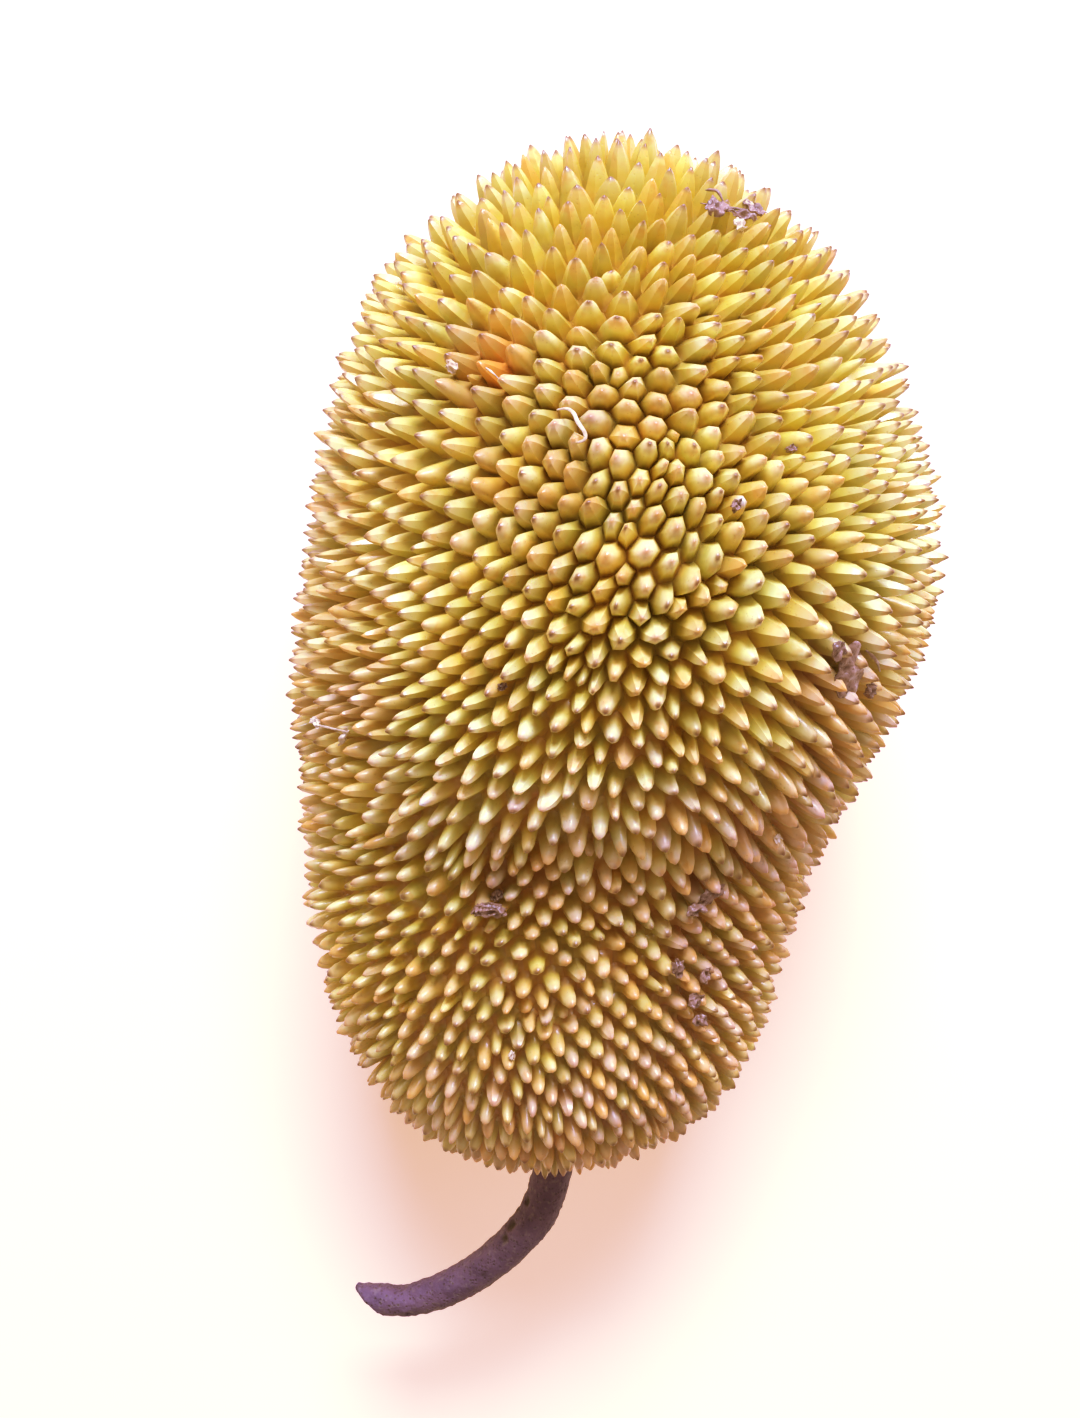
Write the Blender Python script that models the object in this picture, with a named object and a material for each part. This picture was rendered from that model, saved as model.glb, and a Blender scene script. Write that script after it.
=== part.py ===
"""A whole cempedak, picked with its stalk, lying on its side on a flat surface.

Frame: metres, +Z up, +Y from the stalk towards the apex, origin under the middle of the
whole thing, on the surface. The fruit is one solid, body and thorns together, and the
stalk is a second one, whose root sits in the fruit.
"""

import math

import bmesh
import bpy
import numpy as np
from mathutils import Vector

# Body under the thorns
BODY_MIDDLE = 0.0206
BODY_HALF_LENGTH = 0.1205
EQUATOR_HEIGHT = 0.0738
# A section's place runs from -1 at the stalk to 1 at the apex. Its sizes are those that an
# ellipsoid would have round its middle, and the body shrinks to a point at both ends.
# Each section: place, sideways centre, half width, centre above the equator, half height
SECTIONS = (
    (-1.00, -0.017, 0.084, -0.017, 0.074),
    (-0.87, -0.016, 0.077, -0.017, 0.069),
    (-0.72, -0.016, 0.069, -0.017, 0.062),
    (-0.57, -0.016, 0.063, -0.016, 0.058),
    (-0.44, -0.015, 0.061, -0.014, 0.054),
    (-0.34, -0.012, 0.060, -0.012, 0.055),
    (-0.24, -0.009, 0.060, -0.008, 0.060),
    (-0.06, -0.005, 0.065, -0.004, 0.0655),
    (0.15, 0.000, 0.067, 0.000, 0.0675),
    (0.45, 0.000, 0.070, -0.002, 0.0685),
    (0.75, -0.001, 0.077, -0.005, 0.064),
    (1.00, -0.002, 0.074, -0.007, 0.061),
)
# Shallow swellings: waves round the body, waves along it, phase
SWELLINGS = ((3, 4, 0.0), (2, -7, 1.0))
SWELLING_SHARE = 0.012

# Thorns
THORNS = 1840
THORN_LENGTH = 0.0090
STALK_END_THORN = 0.0055
FULL_LENGTH_FROM = -0.3
LONG_THORN_EXTRA = 0.0022
LONG_THORN_PLACE = 0.1
LONG_THORN_REACH = 0.5
LENGTH_SPREAD = 0.08
LEAN_SPREAD = 0.08
SITE_SPREAD = 0.10
STALK_END_CROWDING = 1.5
CROWDED_BELOW = 0.5
GOLDEN_ANGLE = math.pi * (3 - math.sqrt(5))
END_LEAN = 1.5
PROFILE_STEPS = 2001
SMALL_STEP = 1e-3
SEED = 11

# Stalk. Its centre line starts inside the fruit.
STALK_ROUTE = (
    (-0.0140, -0.0910, 0.0570),
    (-0.0145, -0.1050, 0.0552),
    (-0.0185, -0.1200, 0.0535),
    (-0.0270, -0.1310, 0.0520),
    (-0.0385, -0.1403, 0.0500),
    (-0.0510, -0.1460, 0.0482),
    (-0.0635, -0.1472, 0.0470),
)
STALK_ROOT_RADIUS = 0.0053
STALK_END_RADIUS = 0.0041
STALK_SIDES = 14
STALK_RINGS = 26
STALK_CUT_SLANT = -0.7
SHARP_ANGLE = math.radians(40)

# Socket for the stalk's root
SOCKET_GAP = 0.0004
SOCKET_REACH = 0.4
SOCKET_RINGS = 8

RIND_COLOUR = (0.58, 0.42, 0.09, 1.0)
RIND_ROUGHNESS = 0.55
BARK_COLOUR = (0.10, 0.07, 0.07, 1.0)
BARK_ROUGHNESS = 0.75


def clear_scene():
    for item in list(bpy.data.objects):
        bpy.data.objects.remove(item)


def make_material(name, colour, roughness):
    material = bpy.data.materials.new(name)
    material.use_nodes = True
    shader = material.node_tree.nodes["Principled BSDF"]
    shader.inputs["Base Color"].default_value = colour
    shader.inputs["Roughness"].default_value = roughness
    shader.inputs["Metallic"].default_value = 0.0
    return material


def add_object(name, mesh, material=None):
    if material:
        mesh.materials.append(material)
    item = bpy.data.objects.new(name, mesh)
    bpy.context.scene.collection.objects.link(item)
    return item


def smooth(stations, values, at):
    """A cubic curve through the stations, which takes its slopes from their neighbours."""
    slope = np.gradient(values, stations)
    left = np.clip(np.searchsorted(stations, at) - 1, 0, len(stations) - 2)
    step = stations[left + 1] - stations[left]
    part = (at - stations[left]) / step
    rest = 1 - part
    return (
        values[left] * (1 + 2 * part) * rest**2
        + slope[left] * step * part * rest**2
        + values[left + 1] * part**2 * (3 - 2 * part)
        - slope[left + 1] * step * part**2 * rest
    )


def section(place):
    """Sideways centre, half width, height above the equator and half height at each place."""
    table = np.array(SECTIONS)
    return [smooth(table[:, 0], table[:, column], place) for column in range(1, 5)]


def body_points(place, turn):
    """Points of the body. The turn goes round the long axis from the top, towards +X."""
    across, half_width, above, half_height = section(place)
    swelling = sum(np.sin(round_ * turn + along * place + phase) for round_, along, phase in SWELLINGS)
    girth = np.sqrt(np.clip(1 - place**2, 0, 1)) * (1 + SWELLING_SHARE * swelling)
    return np.stack(
        [
            across + half_width * girth * np.sin(turn),
            BODY_MIDDLE + BODY_HALF_LENGTH * place,
            EQUATOR_HEIGHT + above + half_height * girth * np.cos(turn),
        ],
        axis=1,
    )


def unit(vectors):
    return vectors / np.linalg.norm(vectors, axis=1, keepdims=True)


def body_normals(place, turn):
    """Outward directions, from small steps along and round the body."""
    lean = np.arcsin(place)
    ahead = body_points(np.sin(lean + SMALL_STEP), turn)
    behind = body_points(np.sin(lean - SMALL_STEP), turn)
    around = body_points(place, turn + SMALL_STEP) - body_points(place, turn - SMALL_STEP)
    return unit(np.cross(around, ahead - behind))


def crowding(place):
    """How much denser the thorns stand than at the apex. They shrink towards the stalk."""
    return 1 + (STALK_END_CROWDING - 1) * np.clip(CROWDED_BELOW - place, 0, 1)


def thorn_sites(count, rng):
    """Places and turns of a spiral of thorns, each with its own area, and each site's height
    on a ball, where neighbours keep the angles that they have on the body."""
    lean = np.linspace(-END_LEAN, END_LEAN, PROFILE_STEPS)
    place = np.sin(lean)
    _, half_width, _, half_height = section(place)
    radius = np.cos(lean) * np.sqrt(half_width * half_height)
    run = np.hypot(np.diff(BODY_HALF_LENGTH * place), np.diff(radius))
    between = (radius[1:] + radius[:-1]) / 2
    crowd = crowding((place[1:] + place[:-1]) / 2)
    area = np.concatenate([[0], np.cumsum(run * between * crowd)])
    stretch = np.concatenate([[0], np.cumsum(run / between)])
    stretch -= np.interp(area[-1] / 2, area, stretch)
    site = np.interp((np.arange(count) + 0.5) / count * area[-1], area, lean)
    turn = np.arange(count) * GOLDEN_ANGLE
    spacing = np.sqrt(math.tau * area[-1] / count / crowding(np.sin(site)))
    site += rng.normal(0, SITE_SPREAD, count) * spacing / BODY_HALF_LENGTH
    site = np.clip(site, -END_LEAN, END_LEAN)
    turn += rng.normal(0, SITE_SPREAD, count) * spacing / np.interp(site, lean, radius)
    return np.sin(site), turn, np.interp(site, lean, stretch)


def net_of_sites(turn, height):
    """Triangles that join neighbouring sites, as the hull of the sites on a ball."""
    level = 1 / np.cosh(height)
    ball = np.stack([np.sin(turn) * level, np.tanh(height), np.cos(turn) * level], axis=1)
    net = bmesh.new()
    for point in ball:
        net.verts.new(point)
    net.verts.index_update()
    bmesh.ops.convex_hull(net, input=net.verts)
    bmesh.ops.recalc_face_normals(net, faces=net.faces)
    triangles = [[vert.index for vert in face.verts] for face in net.faces]
    net.free()
    return triangles


def thorn_tips(base, normal, place, turn, rng):
    """Where each thorn ends: shorter at the stalk, longer on the right of the big end."""
    grown = np.clip((place + 1) / (FULL_LENGTH_FROM + 1), 0, 1)
    length = STALK_END_THORN + (THORN_LENGTH - STALK_END_THORN) * grown
    right = np.clip(np.sin(turn), 0, 1)
    length += LONG_THORN_EXTRA * right * np.exp(-(((place - LONG_THORN_PLACE) / LONG_THORN_REACH) ** 2))
    length *= 1 + rng.normal(0, LENGTH_SPREAD, len(place))
    leaning = unit(normal + rng.normal(0, LEAN_SPREAD, normal.shape))
    return base + leaning * length[:, None]


def thorned_faces(triangles, count):
    """Each thorn is a fan from its tip to the middles of the triangles round its site."""
    left_of = {}
    for index, (a, b, c) in enumerate(triangles):
        left_of[a, b] = left_of[b, c] = left_of[c, a] = index
    return [
        (tip, count + before, count + left_of[tip, other])
        for (other, tip), before in left_of.items()
    ]


def rest_flat(mesh):
    """Cuts off what reaches below the surface, and closes the thorns that are cut."""
    worked = bmesh.new()
    worked.from_mesh(mesh)
    everything = [*worked.verts, *worked.edges, *worked.faces]
    bmesh.ops.bisect_plane(
        worked, geom=everything, plane_co=(0, 0, 0), plane_no=(0, 0, -1), clear_outer=True
    )
    open_edges = [edge for edge in worked.edges if edge.is_boundary]
    bmesh.ops.holes_fill(worked, edges=open_edges, sides=0)
    bmesh.ops.recalc_face_normals(worked, faces=worked.faces)
    worked.to_mesh(mesh)
    worked.free()


def make_fruit():
    """The body and its thorns in one closed mesh. The thorns meet at their feet."""
    rng = np.random.default_rng(SEED)
    place, turn, height = thorn_sites(THORNS, rng)
    triangles = net_of_sites(turn, height)
    base = body_points(place, turn)
    tips = thorn_tips(base, body_normals(place, turn), place, turn, rng)
    feet = base[np.array(triangles)].mean(axis=1)
    mesh = bpy.data.meshes.new("fruit")
    mesh.from_pydata(np.concatenate([tips, feet]).tolist(), [], thorned_faces(triangles, THORNS))
    rest_flat(mesh)
    return add_object("fruit", mesh, make_material("rind", RIND_COLOUR, RIND_ROUGHNESS))


def stalk_line(count, reach):
    """Points along the stalk's centre line, from its root to this share of its length."""
    route = np.array(STALK_ROUTE)
    marks = np.linspace(0, 1, len(route))
    at = np.linspace(0, reach, count)
    return np.stack([smooth(marks, route[:, axis], at) for axis in range(3)], axis=1)


def tube_mesh(name, line, radii, slant=0.0):
    """A closed round tube along a line. A slant shears its last ring, as a slanting cut does."""
    tube = bmesh.new()
    rings = []
    for index, centre in enumerate(line):
        last = index == len(line) - 1
        along = Vector(line[min(index + 1, len(line) - 1)] - line[max(index - 1, 0)]).normalized()
        side = along.cross(Vector((0, 0, 1))).normalized()
        up = side.cross(along)
        ring = []
        for corner in range(STALK_SIDES):
            angle = math.tau * corner / STALK_SIDES
            offset = side * math.cos(angle) + up * math.sin(angle)
            if last:
                offset -= along * slant * math.cos(angle)
            ring.append(tube.verts.new(Vector(centre) + offset * radii[index]))
        rings.append(ring)
    for ring, following in zip(rings, rings[1:]):
        for corner in range(STALK_SIDES):
            after = (corner + 1) % STALK_SIDES
            tube.faces.new((ring[corner], ring[after], following[after], following[corner]))
    tube.faces.new(rings[0])
    tube.faces.new(rings[-1])
    bmesh.ops.recalc_face_normals(tube, faces=tube.faces)
    mesh = bpy.data.meshes.new(name)
    tube.to_mesh(mesh)
    tube.free()
    mesh.shade_smooth()
    mesh.set_sharp_from_angle(angle=SHARP_ANGLE)
    return mesh


def make_stalk():
    radii = np.linspace(STALK_ROOT_RADIUS, STALK_END_RADIUS, STALK_RINGS)
    mesh = tube_mesh("stalk", stalk_line(STALK_RINGS, 1), radii, STALK_CUT_SLANT)
    return add_object("stalk", mesh, make_material("stalk bark", BARK_COLOUR, BARK_ROUGHNESS))


def cut_socket(fruit):
    """The hole that the stalk's root sits in, wider and deeper than the root by a small gap."""
    line = stalk_line(SOCKET_RINGS, SOCKET_REACH)
    back = Vector(line[0] - line[1]).normalized()
    line[0] += np.array(back) * SOCKET_GAP
    radii = [STALK_ROOT_RADIUS + SOCKET_GAP] * SOCKET_RINGS
    cutter = add_object("socket_cutter", tube_mesh("socket_cutter", line, radii))
    cutter.hide_render = True
    cutter.display_type = "WIRE"
    cut = fruit.modifiers.new("socket", "BOOLEAN")
    cut.operation = "DIFFERENCE"
    cut.solver = "EXACT"
    cut.object = cutter


def main():
    clear_scene()
    fruit = make_fruit()
    make_stalk()
    cut_socket(fruit)


main()
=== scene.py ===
"""The cempedak as it looks: its thorny rind, its stalk and the dried scraps between the thorns.

Frame: metres, +Z up, +Y from the stalk towards the apex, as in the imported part. The rind
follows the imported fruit's own formula, with more and finer thorns.
"""

import math

import bmesh
import bpy
import numpy as np
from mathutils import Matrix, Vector, noise
from mathutils.bvhtree import BVHTree

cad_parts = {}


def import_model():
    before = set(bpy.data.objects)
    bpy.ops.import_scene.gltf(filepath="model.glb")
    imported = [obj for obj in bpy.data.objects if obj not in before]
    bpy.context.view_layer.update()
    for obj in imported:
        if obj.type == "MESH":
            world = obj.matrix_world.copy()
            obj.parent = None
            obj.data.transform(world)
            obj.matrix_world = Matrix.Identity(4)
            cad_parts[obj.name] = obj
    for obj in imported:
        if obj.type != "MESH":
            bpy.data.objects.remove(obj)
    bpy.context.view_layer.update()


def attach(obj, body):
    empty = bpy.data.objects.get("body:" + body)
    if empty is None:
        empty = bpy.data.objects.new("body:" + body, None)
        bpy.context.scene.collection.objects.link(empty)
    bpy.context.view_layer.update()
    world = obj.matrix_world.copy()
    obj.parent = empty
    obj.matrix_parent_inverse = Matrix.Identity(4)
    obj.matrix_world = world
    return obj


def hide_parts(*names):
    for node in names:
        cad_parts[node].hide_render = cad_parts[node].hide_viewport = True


# Body under the thorns, as in the part's source
BODY_MIDDLE = 0.0206
BODY_HALF_LENGTH = 0.1205
EQUATOR_HEIGHT = 0.0738
# Each section: place, sideways centre, half width, centre above the equator, half height
SECTIONS = (
    (-1.00, -0.017, 0.084, -0.017, 0.074),
    (-0.87, -0.016, 0.077, -0.017, 0.069),
    (-0.72, -0.016, 0.069, -0.017, 0.062),
    (-0.57, -0.016, 0.063, -0.016, 0.058),
    (-0.44, -0.015, 0.061, -0.014, 0.054),
    (-0.34, -0.012, 0.060, -0.012, 0.055),
    (-0.24, -0.009, 0.060, -0.008, 0.060),
    (-0.06, -0.005, 0.065, -0.004, 0.0655),
    (0.15, 0.000, 0.067, 0.000, 0.0675),
    (0.45, 0.000, 0.070, -0.002, 0.0685),
    (0.75, -0.001, 0.077, -0.005, 0.064),
    (1.00, -0.002, 0.074, -0.007, 0.061),
)
# Shallow swellings: waves round the body, waves along it, phase
SWELLINGS = ((3, 4, 0.0), (2, -7, 1.0))
SWELLING_SHARE = 0.012
SMALL_STEP = 1e-3

# Where the thorns stand
PLAIN_SPACING = 0.00575
# Place, how much denser the thorns stand there than at the plain spacing
CROWDING = (
    (-1.00, 1.30), (-0.66, 1.22), (-0.30, 1.18), (-0.10, 1.42), (0.10, 1.26), (0.30, 1.36), (0.48, 1.02),
    (0.70, 0.80), (1.00, 0.82),
)
# Patches of denser or sparser thorns: place, its reach, turn, its width in degrees, share more
PATCHES = (
    (0.06, 0.14, 27, 20, -0.34),
    (-0.55, 0.30, 40, 30, 0.20),
    (0.32, 0.22, -34, 20, -0.28),
    (-0.38, 0.16, -28, 22, -0.10),
    (-0.62, 0.25, 5, 45, 0.12),
    (0.15, 0.55, -80, 42, -0.34),
    (0.15, 0.60, 88, 38, -0.26),
    (0.00, 1.20, 180, 70, -0.30),
    (-0.02, 0.17, -44, 17, 0.28),
)
TURN_STEPS = 360
GOLDEN_SHARE = (3 - math.sqrt(5)) / 2
# Area for each thorn, as a share of its spacing squared, where six stand round each
HEXAGON_SHARE = math.sqrt(0.75)
END_LEAN = 1.5
PROFILE_STEPS = 1001
EVEN_ROUNDS = 36
NET_EVERY = 6
EVEN_SPACING = 1.06
EVEN_STIFFNESS = 0.12
# How much closer the thorns stand along the fruit than round it, on its sides
GRAIN = 0.22
GRAIN_FROM = 38.0
SITE_SPREAD = 0.11
SIZE_SPREAD = 0.11
RUNTS = 60
RUNT_OFFSET = 0.55
SEED = 11

# How the thorns grow
THORN_LENGTH = 0.0086
STALK_END_THORN = 0.0062
FULL_LENGTH_FROM = -0.2
LONG_THORN_EXTRA = 0.0016
LONG_THORN_PLACE = 0.1
LONG_THORN_REACH = 0.5
# Places where the thorns are shorter: place, its reach, turn, its width in degrees, share less
SHORT_THORNS = (
    (0.22, 0.40, 0, 36, 0.17),
    (-0.55, 0.28, 5, 40, 0.14),
    (0.05, 0.60, -71, 15, -0.20),
    (0.93, 0.07, 0, 55, -0.22),
)
LENGTH_SPREAD = 0.06
LEAN_SPREAD = 0.045
CURL_SPREAD = 0.06
# How far the thorns lean towards the stalk: place, its reach, turn, its width in degrees, lean
COMBED = (
    (0.45, 0.20, 8, 34, 0.36),
    (0.73, 0.11, 32, 30, 0.30),
    (0.57, 0.14, 12, 14, 0.18),
    (0.62, 0.10, -34, 24, 0.20),
    (0.46, 0.14, -64, 12, -0.35),
    (0.22, 0.20, -42, 22, 0.20),
    (0.15, 0.20, 42, 22, 0.02),
    (-0.02, 0.14, -10, 16, 0.10),
    (-0.16, 0.16, 42, 20, 0.26),
    (-0.17, 0.09, 24, 14, -0.20),
    (-0.24, 0.14, -52, 20, -0.25),
    (-0.42, 0.14, 32, 20, 0.16),
    (-0.88, 0.22, 0, 80, 0.30),
    (0.90, 0.12, 0, 60, -0.24),
)
# How far they lean to the right
SWEPT = (
    (-0.14, 0.13, -2, 30, -0.12),
    (0.42, 0.14, 2, 20, -0.10),
    (0.60, 0.16, 14, 14, 0.16),
    (0.15, 0.50, -48, 19, -0.45),
    (0.10, 0.38, 50, 15, 0.25),
    (-0.62, 0.18, -3, 26, 0.11),
    (-0.84, 0.14, -3, 34, 0.20),
)
RUNT_LENGTH = 0.55
FINGERS_BELOW = -0.35
NO_FINGERS_ABOVE = 0.12
FINGER_SPREAD = 0.15
# Where the thorns are domes with thin grooves between them
DOMES = ((0.24, 0.36, 0, 30, 1.1),)
DOME_SPREAD = 0.15
# How much a full dome counts against facets on a thorn, where a full finger counts 1
DOME_SMOOTHNESS = 0.6
STALK_CLEARANCE = 0.0012
UNDER_STALK_LENGTH = 0.25
THORN_RINGS = 5
# Share of the way to the tip, share of the thorn's height
RING_HEIGHTS = ((0.0, 0.0), (0.2, 0.10), (0.4, 0.42), (0.6, 0.69), (0.8, 0.88), (1.0, 1.0))
# Share of the way to the tip, share of the foot's width
POINTED_WIDTHS = ((0.0, 1.0), (0.2, 0.83), (0.4, 0.61), (0.6, 0.43), (0.8, 0.25), (1.0, 0.05))
DOME_WIDTHS = ((0.0, 1.0), (0.2, 0.93), (0.4, 0.82), (0.6, 0.67), (0.8, 0.44), (1.0, 0.11))
FINGER_WIDTHS = ((0.0, 1.0), (0.2, 0.67), (0.4, 0.58), (0.6, 0.50), (0.8, 0.34), (1.0, 0.08))
WOBBLE = 0.00016
WOBBLE_SCALE = 420.0
LEAST_CLIMB = 0.01

# Patches of colour on the rind: place, its reach, turn, its width in degrees, strength
ROSY = (
    (0.49, 0.07, -27, 9, 0.85),
    (0.00, 0.22, -62, 18, 0.40),
    (-0.10, 0.07, -53, 10, 0.60),
    (0.28, 0.30, -75, 20, 0.30),
    (-0.45, 0.35, 55, 30, 0.75),
    (-0.10, 0.16, 50, 14, 0.60),
    (-0.90, 0.25, 0, 90, 0.55),
    (-0.30, 0.14, 5, 40, 0.35),
    (-0.60, 0.30, 5, 50, 0.35),
    (0.30, 0.16, -12, 14, 0.25),
    (-1.00, 0.20, 0, 120, 0.50),
    (0.00, 0.05, 40, 6, 0.70),
    (-0.40, 0.04, -14, 4, 0.60),
    (-0.39, 0.04, 31, 5, 0.80),
    (-0.58, 0.08, 34, 6, 0.80),
)
LIME = (
    (0.82, 0.25, 0, 70, 0.35),
    (0.15, 0.22, 50, 34, 0.75),
    (0.35, 0.30, 60, 30, 0.45),
    (0.20, 0.25, -35, 25, 0.30),
    (-0.20, 0.20, -25, 25, 0.25),
)
# Deeper yellow, most of all at the apex, with painted shade in the grooves at the thorns' feet there
HONEY_AND_GROOVE_SHADE = ((0.90, 0.30, 0, 90, 0.9), (0.52, 0.16, -5, 30, 0.2))
# Painted light: patches where the thorns are paler and creamier from low on them to their tips
PAINTED_LIGHT_PATCHES = (
    (-0.32, 0.15, 0, 60, 1.0),
    (-0.17, 0.14, -22, 22, 0.55),
    (0.00, 0.22, 15, 30, 0.4),
    (0.50, 0.20, -5, 40, 0.5),
)
# Small orange spots
RIPE = (
    (0.49, 0.035, -27, 4, 1.2),
    (0.44, 0.03, 24, 3, 0.5),
    (-0.33, 0.03, -8, 3, 0.6),
)
TRAIT_SPREAD = 0.15
# Share of single thorns that are riper than their neighbours, and how much
RIPE_SHARE = 0.03
RIPE_ALONE = 0.35

# Stalk
STALK_ROUTE = (
    (-0.0140, -0.0910, 0.0570),
    (-0.0145, -0.1050, 0.0552),
    (-0.0185, -0.1200, 0.0535),
    (-0.0270, -0.1310, 0.0520),
    (-0.0385, -0.1403, 0.0500),
    (-0.0510, -0.1460, 0.0482),
    (-0.0635, -0.1469, 0.0470),
)
STALK_ROOT_RADIUS = 0.0053
# Share of the way from root to tip, share of the root's radius
STALK_WIDTHS = ((0.0, 1.04), (0.25, 0.99), (0.5, 0.92), (0.75, 0.85), (0.93, 0.79), (1.0, 0.76))
STALK_SIDES = 48
STALK_RINGS = 130
STALK_CUT_SLANT = -1.05
STALK_SLANT_RINGS = 9
# Behind the cut end the stalk's upper side dips: place along it, reach, depth
STALK_DIP = (0.90, 0.055, 0.0010)
# Pits on its upper side, sunk and darkened with painted shade: place along it, turn in degrees, length,
# width in degrees
STALK_PITS = ((0.315, 28, 0.015, 13), (0.425, 26, 0.020, 13), (0.465, 44, 0.013, 11))
STALK_PIT_DEPTH = 0.0007
# Each step of the cut end: how far in from the rim, how deep
STALK_CUT_INSETS = ((0.0004, 0.0), (0.0006, 0.0005), (0.0012, 0.0002))
STALK_ROUGHNESS = {
    "Lump_Scale": 210.0, "Lump_Height": 0.0010, "Wart_Scale": 520.0, "Wart_Height": 0.00034,
    "Pit_Scale": 240.0, "Pit_Depth": 0.0005,
}

# Dried scraps in the thorns: place, turn in degrees, length, width, heading in degrees, lift, thickness
SCRAPS = (
    (0.762, 21.0, 0.0052, 0.0036, 40, 0.90, 0.0008),
    (0.752, 27.0, 0.0070, 0.0018, -8, 0.95, 0.0006),
    (0.785, 33.5, 0.0046, 0.0036, -20, 0.90, 0.0008),
    (0.001, 39.5, 0.0100, 0.0076, -50, 0.74, 0.0007),
    (0.033, 34.3, 0.0042, 0.0034, -30, 0.86, 0.0007),
    (-0.022, 45.9, 0.0036, 0.0028, 20, 0.90, 0.0008),
    (-0.408, -14.0, 0.0078, 0.0036, -5, 1.00, 0.0013),
    (-0.368, -13.5, 0.0032, 0.0030, 50, 1.12, 0.0013),
    (-0.409, -16.6, 0.0028, 0.0028, 0, 1.02, 0.0012),
    (-0.384, 32.0, 0.0070, 0.0044, 35, 0.82, 0.0008),
    (-0.412, 29.0, 0.0050, 0.0032, 15, 0.90, 0.0011),
    (-0.540, 28.5, 0.0034, 0.0040, 0, 0.78, 0.0007),
    (-0.557, 36.3, 0.0034, 0.0036, 20, 0.80, 0.0007),
    (-0.601, 34.2, 0.0046, 0.0032, 10, 0.82, 0.0007),
    (-0.641, 36.2, 0.0042, 0.0030, -10, 0.82, 0.0007),
    (-0.033, -17.1, 0.0022, 0.0016, 20, 0.75, 0.0008),
    (0.219, 13.0, 0.0024, 0.0018, 60, 1.00, 0.0008),
    (0.302, 22.0, 0.0022, 0.0016, 10, 1.05, 0.0008),
)
# Thin dried stems: place, turn in degrees, lift
SCRAP_STEMS = (
    ((0.768, 17.3, 0.9), (0.750, 19.6, 1.05), (0.754, 24.8, 1.05), (0.770, 32.4, 0.95)),
    ((0.772, 23.5, 0.95), (0.785, 22.0, 1.1), (0.800, 20.5, 0.95)),
    ((0.037, 40.2, 0.9), (0.025, 42.8, 1.0), (0.006, 46.8, 0.9)),
)
# Dried sap: as the scraps
FLAKES = (
    (0.451, -29.7, 0.0030, 0.0021, -40, 1.10, 0.0009),
    (0.721, 24.1, 0.0026, 0.0024, 0, 1.00, 0.0009),
    (0.761, 28.4, 0.0016, 0.0016, 0, 1.12, 0.0008),
    (-0.255, 38.9, 0.0018, 0.0012, 10, 1.10, 0.0008),
    (-0.685, -9.0, 0.0016, 0.0024, 0, 0.90, 0.0008),
    (-0.093, -56.5, 0.0036, 0.0016, -20, 1.08, 0.0006),
    (-0.114, -48.0, 0.0050, 0.0014, 40, 1.02, 0.0006),
)
# Strips of it: place, turn in degrees, lift, then the strip's width
FLAKE_STRIPS = (
    (((0.368, -12.6, 0.9), (0.362, -10.9, 1.08), (0.352, -9.8, 1.15), (0.338, -9.2, 1.15),
      (0.322, -8.2, 1.1), (0.312, -8.3, 1.08), (0.313, -9.6, 0.95)), 0.0009),
    (((-0.091, -60.5, 0.95), (-0.096, -55.5, 1.10), (-0.100, -51.5, 1.08), (-0.106, -47.7, 0.95)), 0.0006),
    (((0.444, -24.1, 0.9), (0.438, -23.4, 1.15), (0.428, -22.2, 1.12), (0.420, -21.3, 0.9)), 0.0004),
)
SCRAP_FINENESS = 4
SCRAP_RAGS = 0.40
SCRAP_FOLD = 0.0012
THORNY_RADIUS = 0.074
STRAND_STEPS = 40
STRAND_SIDES = 8
SCRAP_ROUGHNESS = {
    "Lump_Scale": 420.0, "Lump_Height": 0.0004, "Wart_Scale": 900.0, "Wart_Height": 0.00012,
    "Pit_Scale": 600.0, "Pit_Depth": 0.0001,
}
FLAKE_ROUGHNESS = {
    "Lump_Scale": 700.0, "Lump_Height": 0.0002, "Wart_Scale": 1400.0, "Wart_Height": 0.00008,
    "Pit_Scale": 900.0, "Pit_Depth": 0.00005,
}

# Noise scales of a scrap's rim, its folds along and across it and its lumps
RAG_SCALE = 2.2
FOLD_SCALES = (2.6, 1.6)
LUMP_SCALE = 3.7
# A scrap's thickness where it has no lumps, and how much they add, as shares of its plain one
SCRAP_THICKNESS = (0.8, 0.6)
# How far the noise moves from one scrap to the next
NOISE_STEP = (7.3, 3.1, 1.7)
# The first scrap's and the first flake's number in that noise
FIRST_SCRAP = 1
FIRST_FLAKE = 21
STEM_WIDTH = 0.0009
STEM_THICKNESS = 0.0007
# Thickness of a strip of dried sap, as a share of its width
STRIP_THICKNESS = 0.35
# How much of half a sine wave a strand's taper takes
STRAND_TAPER = (0.06, 0.94)
# A dried bit farther than the touch from the rind is laid on it, and sunk into it a little
BIT_TOUCH = 0.00005
BIT_SINK = 0.0003

# In the rough surfaces: the share of cells with a pit, the distances from a pit's middle at which
# it starts and is full, and the noise at which a lump neither rises nor sinks
PIT_SHARE = 0.35
PIT_EDGE = (0.22, 0.10)
LUMP_MIDDLE = 0.55

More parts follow.
